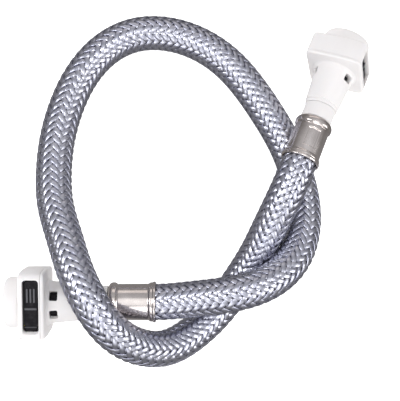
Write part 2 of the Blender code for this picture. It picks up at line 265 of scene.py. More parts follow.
def smooth_route(points, start_direction, end_direction, samples=40):
    """Points on a smooth cubic curve through the given points, clamped to a direction at each end."""
    knots = np.array(points, float)
    gaps = np.linalg.norm(np.diff(knots, axis=0), axis=1)
    slopes = np.diff(knots, axis=0) / gaps[:, None]
    count = len(knots)
    matrix = np.zeros((count, count))
    right = np.zeros((count, 3))
    matrix[0, 0] = matrix[-1, -1] = 1.0
    right[0], right[-1] = start_direction, end_direction
    for i in range(1, count - 1):
        matrix[i, i - 1 : i + 2] = gaps[i], 2 * (gaps[i - 1] + gaps[i]), gaps[i - 1]
        right[i] = 3 * (gaps[i] * slopes[i - 1] + gaps[i - 1] * slopes[i])
    tangents = np.linalg.solve(matrix, right)
    curve = []
    for i in range(count - 1):
        for t in np.linspace(0.0, 1.0, samples, endpoint=False):
            curve.append(
                (2 * t**3 - 3 * t**2 + 1) * knots[i]
                + (t**3 - 2 * t**2 + t) * gaps[i] * tangents[i]
                + (3 * t**2 - 2 * t**3) * knots[i + 1]
                + (t**3 - t**2) * gaps[i] * tangents[i + 1]
            )
    return np.array(curve + [knots[-1]])


class HosePath:
    """The hose's centreline with a frame that doesn't twist, extended straight into both ferrules."""

    def __init__(self, start_direction, end_direction, reach):
        free = smooth_route(ROUTE, start_direction, end_direction)
        steps = np.linspace(reach, STRAIGHT_GAP, STRAIGHT_POINTS)
        before = free[0] - np.outer(steps, start_direction)
        after = free[-1] + np.outer(steps[::-1], end_direction)
        self.points = np.concatenate([before, free, after])
        lengths = np.linalg.norm(np.diff(self.points, axis=0), axis=1)
        self.run = np.concatenate([[0.0], np.cumsum(lengths)]) - reach
        self.free = free
        self.length = float(np.linalg.norm(np.diff(free, axis=0), axis=1).sum())
        tangents = np.gradient(self.points, self.run, axis=0)
        self.tangents = tangents / np.linalg.norm(tangents, axis=1)[:, None]
        normals = []
        normal = np.array((0.0, 0.0, 1.0))
        for tangent in self.tangents:
            normal = normal - tangent * (normal @ tangent)
            normal = normal / np.linalg.norm(normal)
            normals.append(normal)
        self.normals = np.array(normals)

    def read(self, values, along):
        """Values at distances along the hose."""
        return np.stack([np.interp(along, self.run, values[:, k]) for k in range(3)], axis=-1)

    def surface(self, along, angle, radius):
        """Points at an angle and radius about the centreline, with their outward directions."""
        centre = self.read(self.points, along)
        tangent = self.read(self.tangents, along)
        normal = self.read(self.normals, along)
        side = np.cross(tangent, normal)
        outward = normal * np.cos(angle)[..., None] + side * np.sin(angle)[..., None]
        return centre + outward * radius[..., None], outward

    def depth(self, along):
        """How far each distance lies inside a ferrule, from zero at its rim."""
        return np.maximum(np.maximum(-along, along - self.length), 0.0)


def smoothstep(value):
    """A soft step from zero to one."""
    value = np.clip(value, 0.0, 1.0)
    return value * value * (3 - 2 * value)


# ---------------------------------------------------------------- mesh helpers


def mesh_object(name, vertices, faces, finish, attributes=None):
    """A smooth-shaded object from arrays of points in metres and quads."""
    mesh = bpy.data.meshes.new(name)
    mesh.vertices.add(len(vertices))
    mesh.vertices.foreach_set("co", np.asarray(vertices, np.float32).ravel())
    mesh.loops.add(len(faces) * 4)
    mesh.loops.foreach_set("vertex_index", np.asarray(faces, np.int32).ravel())
    mesh.polygons.add(len(faces))
    mesh.polygons.foreach_set("loop_start", np.arange(0, len(faces) * 4, 4, dtype=np.int32))
    mesh.update(calc_edges=True)
    for key, values in (attributes or {}).items():
        values = np.asarray(values, np.float32)
        kind, field = ("FLOAT", "value") if values.ndim == 1 else ("FLOAT_VECTOR", "vector")
        mesh.attributes.new(key, kind, "POINT").data.foreach_set(field, values.ravel())
    mesh.materials.append(finish)
    mesh.shade_smooth()
    made = bpy.data.objects.new(name, mesh)
    bpy.context.collection.objects.link(made)
    return made


def bmesh_object(name, bm, matrix, finish):
    """An object from a bmesh in a fitting's frame."""
    bmesh.ops.recalc_face_normals(bm, faces=bm.faces)
    mesh = bpy.data.meshes.new(name)
    bm.to_mesh(mesh)
    bm.free()
    mesh.materials.append(finish)
    mesh.shade_smooth()
    mesh.set_sharp_from_angle(angle=radians(SHARP_ANGLE))
    made = bpy.data.objects.new(name, mesh)
    made.matrix_world = matrix
    bpy.context.collection.objects.link(made)
    return made


def rounded(outline, arc_steps=5):
    """An (x, radius) outline whose third numbers round their corners by that much."""
    points = []
    count = len(outline)
    for i, corner in enumerate(outline):
        here = Vector(corner[:2])
        if len(corner) < 3 or not corner[2]:
            points.append(tuple(here))
            continue
        back = Vector(outline[i - 1][:2]) - here
        ahead = Vector(outline[(i + 1) % count][:2]) - here
        reach = min(corner[2], back.length * 0.49, ahead.length * 0.49)
        start = here + back.normalized() * reach
        end = here + ahead.normalized() * reach
        for step in range(arc_steps + 1):
            t = step / arc_steps
            point = start * (1 - t) ** 2 + here * 2 * t * (1 - t) + end * t * t
            points.append(tuple(point))
    return points


def skin(bm, rings, closed=False):
    """Join rings of vertices into a body that closes on itself, or else has a face at each end."""
    following = rings[1:] + rings[:1] if closed else rings[1:]
    for first, second in zip(rings, following):
        for quad in zip(first, first[1:] + first[:1], second[1:] + second[:1], second):
            # Rings share their points on the axis, where a quad is a triangle or nothing.
            corners = list(dict.fromkeys(quad))
            if len(corners) > 2:
                bm.faces.new(corners)
    if not closed:
        bm.faces.new(rings[0])
        bm.faces.new(rings[-1])


def turned(outline, sides=TURNED_SIDES, angle=360.0, start=0.0):
    """Turn a closed outline about the X axis by an angle, from a start measured from +Z, both in degrees."""
    bm = bmesh.new()
    profile = rounded(outline)
    on_axis = {x: bm.verts.new((x * MM, 0.0, 0.0)) for x, radius in profile if radius == 0.0}
    full = angle == 360.0
    rings = []
    for step in range(sides if full else sides + 1):
        turn = radians(start + angle * step / sides)
        ring = []
        for x, radius in profile:
            if radius == 0.0:
                ring.append(on_axis[x])
            else:
                ring.append(bm.verts.new((x * MM, -sin(turn) * radius * MM, cos(turn) * radius * MM)))
        rings.append(ring)
    skin(bm, rings, closed=full)
    return bm


def block(x_span, y_span, z_span, corner, segments, axis="x"):
    """A block with the four edges along one axis rounded."""
    spans = [x_span, y_span, z_span]
    size = [(high - low) * MM for low, high in spans]
    centre = [(high + low) / 2 * MM for low, high in spans]
    bm = bmesh.new()
    bmesh.ops.create_cube(bm, size=1.0)
    bmesh.ops.scale(bm, verts=bm.verts, vec=size)
    bmesh.ops.translate(bm, verts=bm.verts, vec=centre)
    along = "xyz".index(axis)
    edges = [e for e in bm.edges if abs((e.verts[0].co - e.verts[1].co)[along]) > size[along] / 2]
    bmesh.ops.bevel(bm, geom=edges, offset=corner * MM, segments=segments, profile=0.5, affect="EDGES")
    return bm


def block_of(shape, segments, axis="x"):
    """A block from a named shape's spans and corner."""
    return block(shape["x"], shape["y"], shape["z"], shape["corner"], segments, axis)


def plug(shape):
    """A solid cylinder on the X axis, from a named shape's span and radius."""
    start, end = shape["x"]
    return turned([(start, 0.0), (start, shape["radius"]), (end, shape["radius"]), (end, 0.0)])


def head_outline(inset):
    """The head's (y, z) outline: rounded corners, and sides that fold slightly outwards at a ridge."""
    half_height, half_width = HEAD_HEIGHT / 2 - inset, HEAD_WIDTH / 2 - inset
    corner = max(HEAD_CORNER - inset, LEAST_CORNER)
    side = half_height - HEAD_FOLD["draft"]
    return rounded(
        [
            (side, half_width, corner),
            (half_height, HEAD_FOLD["z"], HEAD_FOLD_ROUNDING),
            (side, -half_width, corner),
            (-side, -half_width, corner),
            (-half_height, HEAD_FOLD["z"], HEAD_FOLD_ROUNDING),
            (-side, half_width, corner),
        ]
    )


def head_block(start, end, start_edge, end_edge, steps=4):
    """A slice of the head between two stations, with a rounded edge of its own at each end."""
    turns = [pi / 2 * step / steps for step in range(steps + 1)]
    stations = [(start + start_edge * (1 - cos(t)), start_edge * (1 - sin(t))) for t in turns]
    stations += [(end - end_edge * (1 - cos(t)), end_edge * (1 - sin(t))) for t in reversed(turns)]
    bm = bmesh.new()
    rings = []
    for x, inset in stations:
        rings.append([bm.verts.new((x * MM, y * MM, z * MM)) for y, z in head_outline(inset)])
    skin(bm, rings)
    return bm


def combined(target, tools, ease):
    """Boolean (bmesh, operation) tools into the target, ease the sharp edges, and keep only the result."""
    helpers = []
    for bm, operation in tools:
        helper = bmesh_object("tool", bm, target.matrix_world, target.data.materials[0])
        modifier = target.modifiers.new("tool", "BOOLEAN")
        modifier.operation = operation
        modifier.solver = "EXACT"
        modifier.object = helper
        helpers.append(helper)
    bevel = target.modifiers.new("ease", "BEVEL")
    bevel.width = ease * MM
    bevel.segments = 2
    bevel.limit_method = "ANGLE"
    bevel.angle_limit = radians(EASED_ANGLE)
    depsgraph = bpy.context.evaluated_depsgraph_get()
    result = bpy.data.meshes.new_from_object(target.evaluated_get(depsgraph))
    target.modifiers.clear()
    target.data = result
    result.shade_smooth()
    result.set_sharp_from_angle(angle=radians(CARVED_SHARP_ANGLE))
    for helper in helpers:
        bpy.data.objects.remove(helper, do_unlink=True)
    return target


# ---------------------------------------------------------------- materials


class Shader:
    """A material under construction: its Principled node and a few helpers."""

    def __init__(self, name):
        self.material = bpy.data.materials.new(name)
        self.material.use_nodes = True
        self.tree = self.material.node_tree
        self.principled = self.tree.nodes["Principled BSDF"]

    def node(self, kind, **settings):
        """A new node, with values for its sockets or its own settings."""
        made = self.tree.nodes.new(kind)
        for key, value in settings.items():
            if key in made.inputs:
                made.inputs[key].default_value = value
            else:
                setattr(made, key, value)
        return made

    def link(self, source, target):
        self.tree.links.new(source, target)

    def coordinates(self, stretch=(1.0, 1.0, 1.0)):
        """Object coordinates, scaled per axis."""
        place = self.node("ShaderNodeTexCoord")
        mapping = self.node("ShaderNodeMapping")
        mapping.inputs["Scale"].default_value = stretch
        self.link(place.outputs["Object"], mapping.inputs["Vector"])
        return mapping.outputs["Vector"]

    def noise(self, vector, scale, detail, roughness=0.5):
        """Noise with a scale in features per metre."""
        made = self.node("ShaderNodeTexNoise", Scale=scale, Detail=detail, Roughness=roughness)
        self.link(vector, made.inputs["Vector"])
        return made.outputs["Fac"]

    def ramp(self, value, stops):
        """A colour ramp with (position, colour) stops, where a single number is a grey."""
        made = self.node("ShaderNodeValToRGB")
        elements = made.color_ramp.elements
        while len(elements) < len(stops):
            elements.new(0.5)
        for element, (position, colour) in zip(elements, stops):
            element.position = position
            element.color = (*colour, 1.0) if len(colour) == 3 else (colour[0],) * 3 + (1.0,)
        self.link(value, made.inputs["Fac"])
        return made.outputs["Color"]

    def multiply(self, first, second):
        """The product of two colours."""
        made = self.node("ShaderNodeMix", data_type="RGBA", blend_type="MULTIPLY")
        made.inputs["Factor"].default_value = 1.0
        self.link(first, made.inputs[MIX_FIRST])
        self.link(second, made.inputs[MIX_SECOND])
        return made.outputs[MIX_RESULT]

    def math(self, operation, value, factor=None):
        """The result of an operation on a value, with an optional second number."""
        made = self.node("ShaderNodeMath", operation=operation)
        self.link(value, made.inputs[0])
        if factor is not None:
            made.inputs[1].default_value = factor
        return made.outputs[0]

    def bump(self, height, strength, distance, below=None):
        """A normal from a height, with its distance in metres, over an optional normal below."""
        made = self.node("ShaderNodeBump", Strength=strength, Distance=distance)
        self.link(height, made.inputs["Height"])
        if below is not None:
            self.link(below, made.inputs["Normal"])
        return made.outputs["Normal"]

    def set(self, **values):
        """Plain values or links for the Principled sockets, named with underscores for spaces."""
        for key, value in values.items():
            socket = self.principled.inputs[key.replace("_", " ")]
            if isinstance(value, bpy.types.NodeSocket):
                self.link(value, socket)
            else:
                socket.default_value = value
        return self.material


def braid_steel():
    """Bright stainless wires, with painted shade in the valleys between them and at a strand's edges."""
    s = Shader("braid_steel")
    across = s.node("ShaderNodeAttribute", attribute_name="across").outputs["Fac"]
    drift = s.noise(s.coordinates(), scale=260.0, detail=2.0)
    crest = s.math("ABSOLUTE", s.math("SINE", s.math("MULTIPLY", across, FILAMENTS * pi)))
    # Painted shade: the wires' colour darkens towards the valleys between them.
    steel_with_valley_shade = s.ramp(crest, [(0.0, (0.38, 0.38, 0.42)), (0.5, (0.62, 0.63, 0.685))])
    tint = s.ramp(drift, [(0.3, (0.86, 0.86, 0.92)), (0.7, (1.0, 0.99, 1.0))])
    # Painted shade: each strand's colour darkens towards its edges, as if the crossing strands shaded them.
    edge_shade, light = (0.75, 0.75, 0.79), (1.0, 1.0, 1.0)
    edges = s.ramp(across, [(0.02, edge_shade), (0.24, light), (0.76, light), (0.98, edge_shade)])
    colour = s.multiply(s.multiply(steel_with_valley_shade, tint), edges)
    rough = s.ramp(s.noise(s.coordinates(), scale=500.0, detail=2.0), [(0.3, (0.26,)), (0.75, (0.34,))])
    sideways = s.node("ShaderNodeAttribute", attribute_name="sideways").outputs["Vector"]
    normal = s.bump(crest, strength=0.12, distance=0.00012)
    return s.set(
        Base_Color=colour,
        Metallic=1.0,
        Roughness=rough,
        Anisotropic=0.55,
        Tangent=sideways,
        Normal=normal,
    )


def ferrule_steel():
    """Drawn stainless: fine turning lines around the axis, faint smears, a warm tone."""
    s = Shader("ferrule_steel")
    lines = s.noise(s.coordinates((1.0, 0.02, 0.02)), scale=9000.0, detail=3.0, roughness=0.6)
    smears = s.noise(s.coordinates((0.5, 1.0, 1.0)), scale=160.0, detail=4.0)
    colour = s.ramp(smears, [(0.3, (0.575, 0.52, 0.49)), (0.7, (0.83, 0.77, 0.735))])
    rough = s.ramp(smears, [(0.3, (0.13,)), (0.75, (0.24,))])
    normal = s.bump(lines, strength=0.08, distance=0.00004)
    return s.set(Base_Color=colour, Metallic=1.0, Roughness=rough, Normal=normal)


def moulded_white():
    """White acetal: faint flow marks, fine moulding grain and a little light passing into it."""
    s = Shader("moulded_white")
    flow = s.noise(s.coordinates((0.4, 1.0, 1.0)), scale=90.0, detail=4.0)
    grain = s.noise(s.coordinates(), scale=4200.0, detail=3.0)
    colour = s.ramp(flow, [(0.3, (0.71, 0.685, 0.675)), (0.7, (0.75, 0.73, 0.72))])
    rough = s.ramp(grain, [(0.3, (0.36,)), (0.7, (0.48,))])
    marks = s.bump(flow, strength=0.08, distance=0.0006)
    normal = s.bump(grain, strength=0.10, distance=0.00006, below=marks)
    return s.set(
        Base_Color=colour,
        Roughness=rough,
        Normal=normal,
        Subsurface_Weight=0.15,
        Subsurface_Radius=(0.0014, 0.0012, 0.001),
        Subsurface_Scale=1.0,
    )


def moulded_black():
    """Black moulded plastic with a fine grain, faint dust, and a painted grey highlight on its raised tops.
    """
    s = Shader("moulded_black")
    grain = s.noise(s.coordinates(), scale=3000.0, detail=3.0)
    dust = s.noise(s.coordinates(), scale=700.0, detail=5.0, roughness=0.7)
    dusty = s.ramp(dust, [(0.45, (0.006, 0.005, 0.007)), (0.8, (0.025, 0.023, 0.026))])
    split = s.node("ShaderNodeSeparateXYZ")
    s.link(s.coordinates(), split.inputs[0])
    # Painted highlight: the raised tops are painted grey by their height.
    glint_mask = s.node("ShaderNodeMapRange")
    glint_mask.inputs["From Min"].default_value = GLINT_PAINT_Z[0] * MM
    glint_mask.inputs["From Max"].default_value = GLINT_PAINT_Z[1] * MM
    s.link(split.outputs["Z"], glint_mask.inputs["Value"])
    painted_glint = s.node("ShaderNodeMix", data_type="RGBA")
    s.link(glint_mask.outputs[0], painted_glint.inputs["Factor"])
    s.link(dusty, painted_glint.inputs[MIX_FIRST])
    painted_glint.inputs[MIX_SECOND].default_value = GLINT_PAINT_GREY
    rough = s.ramp(grain, [(0.3, (0.28,)), (0.7, (0.42,))])
    return s.set(
        Base_Color=painted_glint.outputs[MIX_RESULT],
        Roughness=rough,
        Specular_IOR_Level=0.12,
        Normal=s.bump(grain, strength=0.15, distance=0.00006),
    )


def seal_rubber():
    """Black rubber with a dull mottled bloom."""
    s = Shader("seal_rubber")
    bloom = s.noise(s.coordinates(), scale=900.0, detail=4.0)
    colour = s.ramp(bloom, [(0.3, (0.010, 0.010, 0.011)), (0.75, (0.035, 0.034, 0.034))])
    rough = s.ramp(bloom, [(0.3, (0.5,)), (0.7, (0.7,))])
    return s.set(Base_Color=colour, Roughness=rough, Normal=s.bump(bloom, strength=0.15, distance=0.00005))


def liner_rubber():
    """Dark hose rubber, seen only in the gaps of the braid."""
    s = Shader("liner_rubber")
    mottle = s.noise(s.coordinates(), scale=500.0, detail=4.0)
    colour = s.ramp(mottle, [(0.3, (0.06, 0.06, 0.068)), (0.75, (0.10, 0.10, 0.112))])
    return s.set(Base_Color=colour, Roughness=0.55, Normal=s.bump(mottle, strength=0.2, distance=0.0001))


def spring_steel():
    """Bright spring strip with lengthwise rolling marks."""
    s = Shader("spring_steel")
    marks = s.noise(s.coordinates((1.0, 0.05, 1.0)), scale=5000.0, detail=2.0)
    colour = s.ramp(marks, [(0.3, (0.50, 0.51, 0.53)), (0.7, (0.62, 0.63, 0.65))])
    rough = s.ramp(marks, [(0.3, (0.2,)), (0.7, (0.34,))])
    normal = s.bump(marks, strength=0.1, distance=0.00004)
    return s.set(Base_Color=colour, Metallic=1.0, Roughness=rough, Normal=normal)


# ---------------------------------------------------------------- hose


def ribbon_section():
    """(across, lift) of a strand of side-by-side wires: a crowned, scalloped top over a plain underside."""
    half = RIBBON_WIDTH / 2
    section = []
    for k in range(FILAMENTS * 2 + 1):
        across = -half + RIBBON_WIDTH * k / (FILAMENTS * 2)
        top = RIBBON_CREST if k % 2 == 1 else RIBBON_VALLEY
        section.append((across, top * RIBBON_THICKNESS - RIBBON_CROWN * (across / half) ** 2))
    for across in (half * RIBBON_UNDERSIDE, 0.0, -half * RIBBON_UNDERSIDE):
        section.append((across, -RIBBON_CREST * RIBBON_THICKNESS - RIBBON_CROWN * (across / half) ** 2))
    return np.array(section)


def braid_strand(path, direction, index, section, along):
    """Points of one strand: a ribbon that winds round the hose, two over and two under the others."""
    turns = 2 * pi * along / BRAID_LEAD
    angle = 2 * pi * index / CARRIERS + direction * turns
    # Columns of crossings lie at whole steps of this phase, and two neighbours in four go over.
    column = angle * CARRIERS / pi
    phase = 2 * pi * (column - 0.5) / 4
    lift = direction * np.tanh(WEAVE_FLATNESS * np.cos(phase)) * WEAVE_HEIGHT
    squeeze = smoothstep((path.depth(along) + CRIMP_LEAD_IN) / BRAID_DEPTH) * CRIMP_SQUEEZE
    radius = BRAID_RADIUS + lift - squeeze
    centre, outward = path.surface(along, angle, radius)
    heading = np.gradient(centre, axis=0)
    heading /= np.linalg.norm(heading, axis=1)[:, None]
    sideways = np.cross(heading, outward)
    sideways /= np.linalg.norm(sideways, axis=1)[:, None]
    upward = np.cross(sideways, heading)
    points = (
        centre[:, None, :]
        + sideways[:, None, :] * section[None, :, 0, None]
        + upward[:, None, :] * section[None, :, 1, None]
    )
    return points, np.repeat(sideways, len(section), axis=0)


def make_braid(path, finish):
    """All strands of the braid as one mesh."""
    start, end = -BRAID_DEPTH, path.length + BRAID_DEPTH
    count = int((end - start) / BRAID_LEAD * POINTS_PER_TURN)
    along = np.linspace(start, end, count)
    section = ribbon_section()
    width = len(section)
    across = np.tile(section[:, 0] / RIBBON_WIDTH + 0.5, count)
    vertices, faces, tangents = [], [], []
    grid = np.arange(count * width).reshape(count, width)
    ahead = np.roll(grid, -1, axis=1)
    sides = np.stack([grid[:-1], grid[1:], ahead[1:], ahead[:-1]], axis=-1).reshape(-1, 4)
    base = 0
    for direction in (1, -1):
        for index in range(CARRIERS):
            points, sideways = braid_strand(path, direction, index, section, along)
            vertices.append(points.reshape(-1, 3) * MM)
            faces.append(sides + base)
            tangents.append(sideways)
            base += count * width
    attributes = {"across": np.tile(across, 2 * CARRIERS), "sideways": np.concatenate(tangents)}
    piece = mesh_object("braid", np.concatenate(vertices), np.concatenate(faces), finish, attributes)
    return piece


def make_liner(path, finish):
    """The rubber tube inside the braid, narrowing where the ferrules squeeze it."""
    sides = LINER_SIDES
    along = np.linspace(-LINER_DEPTH, path.length + LINER_DEPTH, LINER_STATIONS)
    squeeze = smoothstep(path.depth(along) / LINER_CRIMP_DEPTH)
    angles = np.linspace(0.0, 2 * pi, sides, endpoint=False)
    rings = []
    for free, crimped in (LINER_OUTER, LINER_INNER):
        radius = free + (crimped - free) * squeeze
        grid_along = np.repeat(along, sides)
        points, _ = path.surface(grid_along, np.tile(angles, len(along)), np.repeat(radius, sides))
        rings.append(points)
    count = len(along)
    grid = np.arange(count * sides).reshape(count, sides)
    ahead = np.roll(grid, -1, axis=1)
    outer = np.stack([grid[:-1], ahead[:-1], ahead[1:], grid[1:]], axis=-1).reshape(-1, 4)
    inner = outer[:, ::-1] + count * sides
    first = np.stack([grid[0], grid[0] + count * sides, ahead[0] + count * sides, ahead[0]], axis=-1)
    last = np.stack([grid[-1], ahead[-1], ahead[-1] + count * sides, grid[-1] + count * sides], axis=-1)
    faces = np.concatenate([outer, inner, first, last])
    return mesh_object("liner", np.concatenate(rings) * MM, faces, finish)


# ---------------------------------------------------------------- fitting


def end_frame(frame, side):
    """The fitting's frame, read from its two joints: X along the swivel, Z out of the latch window."""
    joints = {joint["name"]: joint for joint in frame["joints"]}
    swivel, press = joints[f"{side}_swivel"], joints[f"{side}_latch_press"]
    x = Vector(swivel["axis"]).normalized()
    z = -Vector(press["axis"]).normalized()
    y = z.cross(x)
    matrix = Matrix((x, y, z)).transposed().to_4x4()
    matrix.translation = Vector(swivel["pos_m"])
    return matrix


def make_ferrule(side, matrix, finish):
    """Crimped cup: a flared rim with a rolled edge, a straight wall, a groove, and a rolled bead."""
    outside = [
        (0.0, 7.05, 0.1),
        (0.1, 7.42, 0.2),
        (0.8, 7.5, 0.3),
        (1.15, 7.15, 0.2),
        (1.5, 7.2, 0.2),
        (2.1, 7.15, 0.3),
        (2.7, 6.68, 0.3),
        (13.6, WALL_RADIUS, 0.25),
        (13.85, 6.5, 0.12),
        (14.1, 6.7, 0.2),
        (14.5, 7.15, 0.35),
        (15.7, 7.25, 0.5),
        (16.7, 6.95, 0.45),
        (FERRULE_LENGTH, 6.1, 0.3),
    ]
    inside = [
        (FERRULE_LENGTH, 4.5, 0.1),
        (16.7, 4.5),
        (16.7, 5.9),
        (3.6, 5.95, 0.8),
        (1.2, 6.9, 0.5),
        (0.0, 6.95),
    ]
    shell = turned(outside + inside, FERRULE_SIDES)
    ferrule = bmesh_object(f"ferrule_shell_{side}", shell, matrix, finish)
    if side == "right":
        press_flat(ferrule)
    return ferrule


def press_flat(ferrule):
    """A crimping die's long flat, pressed into the ferrule's wall on the side that faces up."""
    start, end = FLAT["x"]
    edge = FLAT["edge"]
    up = ferrule.matrix_world.to_3x3().inverted() @ Vector((0.0, 0.0, 1.0))
    up = Vector((0.0, up.y, up.z)).normalized()
    across = Vector((1.0, 0.0, 0.0)).cross(up)
    bm = bmesh.new()
    bm.from_mesh(ferrule.data)
    wall = [e for e in bm.edges if abs((e.verts[0].co - e.verts[1].co).x) > WALL_LEAST_EDGE * MM]
    bmesh.ops.subdivide_edges(bm, edges=wall, cuts=FLAT_CUTS, use_grid_fill=True)
    for vert in bm.verts:
        place = vert.co / MM
        height, offset = place.dot(up), place.dot(across)
        if height < WALL_LEAST_HEIGHT or Vector((height, offset)).length < WALL_LEAST_RADIUS:
            continue
        inside = smoothstep((place.x - start) / edge) * smoothstep((end - place.x) / edge)
        inside *= smoothstep((FLAT["half_width"] - abs(offset)) / edge)
        floor = WALL_RADIUS - FLAT["depth"] - FLAT["crown"] * offset * offset
        vert.co += up * (min(floor - height, 0.0) * inside * MM)
    bm.to_mesh(ferrule.data)
    bm.free()


def make_stem(side, matrix, finish):
    """Barbed stem with a visible spigot between the ferrule and the coupler."""
    stem_start, stem_end = STEM_X
    barbs = [(stem_start, BARB["tip"])]
    for tooth in range(BARB["count"]):
        start = BARB["start"] + BARB["pitch"] * tooth
        barbs += [(start, BARB["crest"]), (start + BARB["length"], BARB["root"])]
    start, end = STEM_FLANGE["x"]
    radius = STEM_FLANGE["radius"]
    flange = [(start, BARB["root"]), (start, radius), (end, radius), (end, STEM_NECK)]
    spigot = [
        (SPIGOT_START, STEM_NECK),
        (SPIGOT_START, SPIGOT_RADIUS, 0.35),
        (SPIGOT_END, SPIGOT_RADIUS, 0.15),
        (SPIGOT_END, STEM_RADIUS),
    ]
    grooves = []
    for start, width, depth in STEM_GROOVES:
        end, floor = start + width, STEM_RADIUS - depth
        grooves += [(start, STEM_RADIUS), (start, floor), (end, floor), (end, STEM_RADIUS)]
    tip = [(37.6, STEM_RADIUS, 0.3), (stem_end, 4.2), (stem_end, STEM_BORE), (stem_start, STEM_BORE)]
    outline = barbs + flange + spigot + grooves + tip
    return bmesh_object(f"stem_tube_{side}", turned(outline), matrix, finish)


def bore_outline():
    """The bore to cut from the coupler, with the clip's seat and the gland for the nipple's seals."""
    start, end = BORE["x"]
    points = [(start, 0.0), (start, BORE["radius"])]
    for pocket in (CLIP_SEAT, GLAND):
        low, high = pocket["x"]
        points += [(low, BORE["radius"]), (low, pocket["radius"])]
        points += [(high, pocket["radius"]), (high, BORE["radius"])]
    return points + [(end, BORE["radius"]), (end, 0.0)]


def make_body(side, matrix, finish):
    """Conical tube with a grooved collar, flaring into the head's flange, with two side windows."""
    collar = [
        (BODY_START, 0.0),
        (BODY_START, 6.35, 0.25),
        (24.4, 6.38, 0.1),
        (24.5, 6.25, 0.1),
        (24.9, 6.25, 0.1),
        (25.0, 6.6, 0.3),
    ]
    seat = HEAD_START + TUBE_OVERLAP
    cone = [(35.8, 7.5, 2.0), (38.7, 7.9, 0.8), (39.3, 8.8, 0.4), (seat, 9.2), (seat, SLEEVE_RADIUS)]
    sleeve = [(BODY_END, SLEEVE_RADIUS, 0.2), (BODY_END, 0.0)]
    outline = collar + cone + sleeve
    body = bmesh_object(f"coupler_tube_{side}", turned(outline), matrix, finish)
    flange = head_block(HEAD_START, FLANGE_END, start_edge=0.8, end_edge=0.08)
    tools = [(flange, "UNION"), (turned(bore_outline()), "DIFFERENCE")]
    half, reach = SIDE_WINDOW["width"] / 2, SIDE_WINDOW["reach"]
    for tilt in (-1, 1):
        cutter = block(SIDE_WINDOW["x"], (-half, half), (-reach, reach), SIDE_WINDOW["corner"], 4, axis="z")
        turn = Matrix.Rotation(radians(tilt * SIDE_WINDOW["angle"]), 3, "X")
        bmesh.ops.rotate(cutter, verts=cutter.verts, cent=(0, 0, 0), matrix=turn)
        tools.append((cutter, "DIFFERENCE"))
    return combined(body, tools, ease=0.12)


def make_housing(side, matrix, finish):
    """The head's rounded shell, with a hole for the nipple and a latch window whose +Y end slopes."""
    shell = head_block(HOUSING_START, HOUSING_END, start_edge=0.08, end_edge=0.7)
    housing = bmesh_object(f"latch_shell_{side}", shell, matrix, finish)
    window_half = WINDOW["height"] / 2
    window = block(WINDOW["x"], (-window_half, window_half), WINDOW["z"], WINDOW["corner"], 6, axis="z")
    for vert in window.verts:
        if vert.co.y > 0.0:
            vert.co.y -= (HEAD_WIDTH / 2 * MM - vert.co.z) * WINDOW["slope"]
    tools = [
        (block_of(CAVITY, 4), "DIFFERENCE"),
        (window, "DIFFERENCE"),
        (plug(NIPPLE_HOLE), "DIFFERENCE"),
    ]
    return combined(housing, tools, ease=0.2)


def make_clip(side, matrix, finish):
    """C-shaped clip: a fin in the stem's last groove, and a collar that fills the side windows."""
    start, end = CLIP_COLLAR["x"]
    inner, outer = CLIP_COLLAR["radii"]
    fin_start, fin_end = CLIP_FIN["x"]
    outline = [
        (fin_start, CLIP_FIN["radius"]),
        (fin_end, CLIP_FIN["radius"]),
        (fin_end, inner),
        (end, inner),
        (end, outer, 0.2),
        (start, outer, 0.2),
        (start, inner),
        (fin_start, inner),
    ]
    clip = turned(outline, CLIP_SIDES, CLIP_WRAP, CLIP_START)
    return bmesh_object(f"stem_clip_{side}", clip, matrix, finish)


def make_button(side, matrix, finish):
    """The latch: a sunk thumb cap with three ridges and two bars, on the plate that locks the nipple."""
    button = bmesh_object(f"latch_cap_{side}", block_of(CAP, 5, axis="z"), matrix, finish)
    hole = plug(PLATE_HOLE)
    bmesh.ops.translate(hole, verts=hole.verts, vec=(0.0, 0.0, PLATE_HOLE["lift"] * MM))
    tools = [(block_of(PLATE, 5), "UNION"), (hole, "DIFFERENCE")]
    for centre in RIDGE_CENTRES:
        x_span = (centre - RIDGE["half_width"], centre + RIDGE["half_width"])
        ridge = block(x_span, RIDGE["y"], RIDGE["z"], RIDGE["corner"], 3, axis="z")
        tools.append((ridge, "UNION"))
    for bar in (GRIP_BAR, LOW_BAR):
        tools.append((block_of(bar, 3), "UNION"))
    return combined(button, tools, ease=0.1)


def make_spring(side, matrix, finish):
    """The bowed steel strip under the latch plate."""
    start, end = SPRING["x"]
    corner = SPRING["corner"]
    bm = bmesh.new()
    rings = []
    for step in range(SPRING_STEPS + 1):
        share = step / SPRING_STEPS
        y = SPRING["length"] * (share - 0.5)
        low = SPRING["foot"] + SPRING["bow"] * (1 - cos(2 * pi * share)) / 2
        high = low + SPRING["thickness"]
        corners = ((start, low), (end, low), (end, high), (start, high))
        section = rounded([(x, z, corner) for x, z in corners])
        rings.append([bm.verts.new((x * MM, y * MM, z * MM)) for x, z in section])
    skin(bm, rings)
    spring = bmesh_object(f"latch_leaf_{side}", bm, matrix, finish)
    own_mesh(spring)
    return spring


def make_mouth_ring(side, matrix, finish):
    """The mouth's guide ring: a soft-edged rim, a lead-in and a sleeve that reaches into the head."""
    outline = [
        (47.6, 6.2, 0.1),
        (RING_START, 6.2, 0.1),
        (RING_START, 8.9, 0.3),
        (49.8, 9.2, 0.3),
        (53.2, 9.3, 0.6),
        (54.5, 8.95, 0.5),
        (MOUTH_FACE, 8.1, 0.3),
        (MOUTH_FACE, 6.7, 0.2),
        (53.2, 5.35, 0.5),
        (47.6, 5.2, 0.1),
    ]
    return bmesh_object(f"mouth_rim_{side}", turned(outline), matrix, finish)


def place(piece, body, slot, node):
    """Ride a piece on a body and let it stand for a CAD node; the slot is not used."""
    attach(piece, body)
    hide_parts(node)


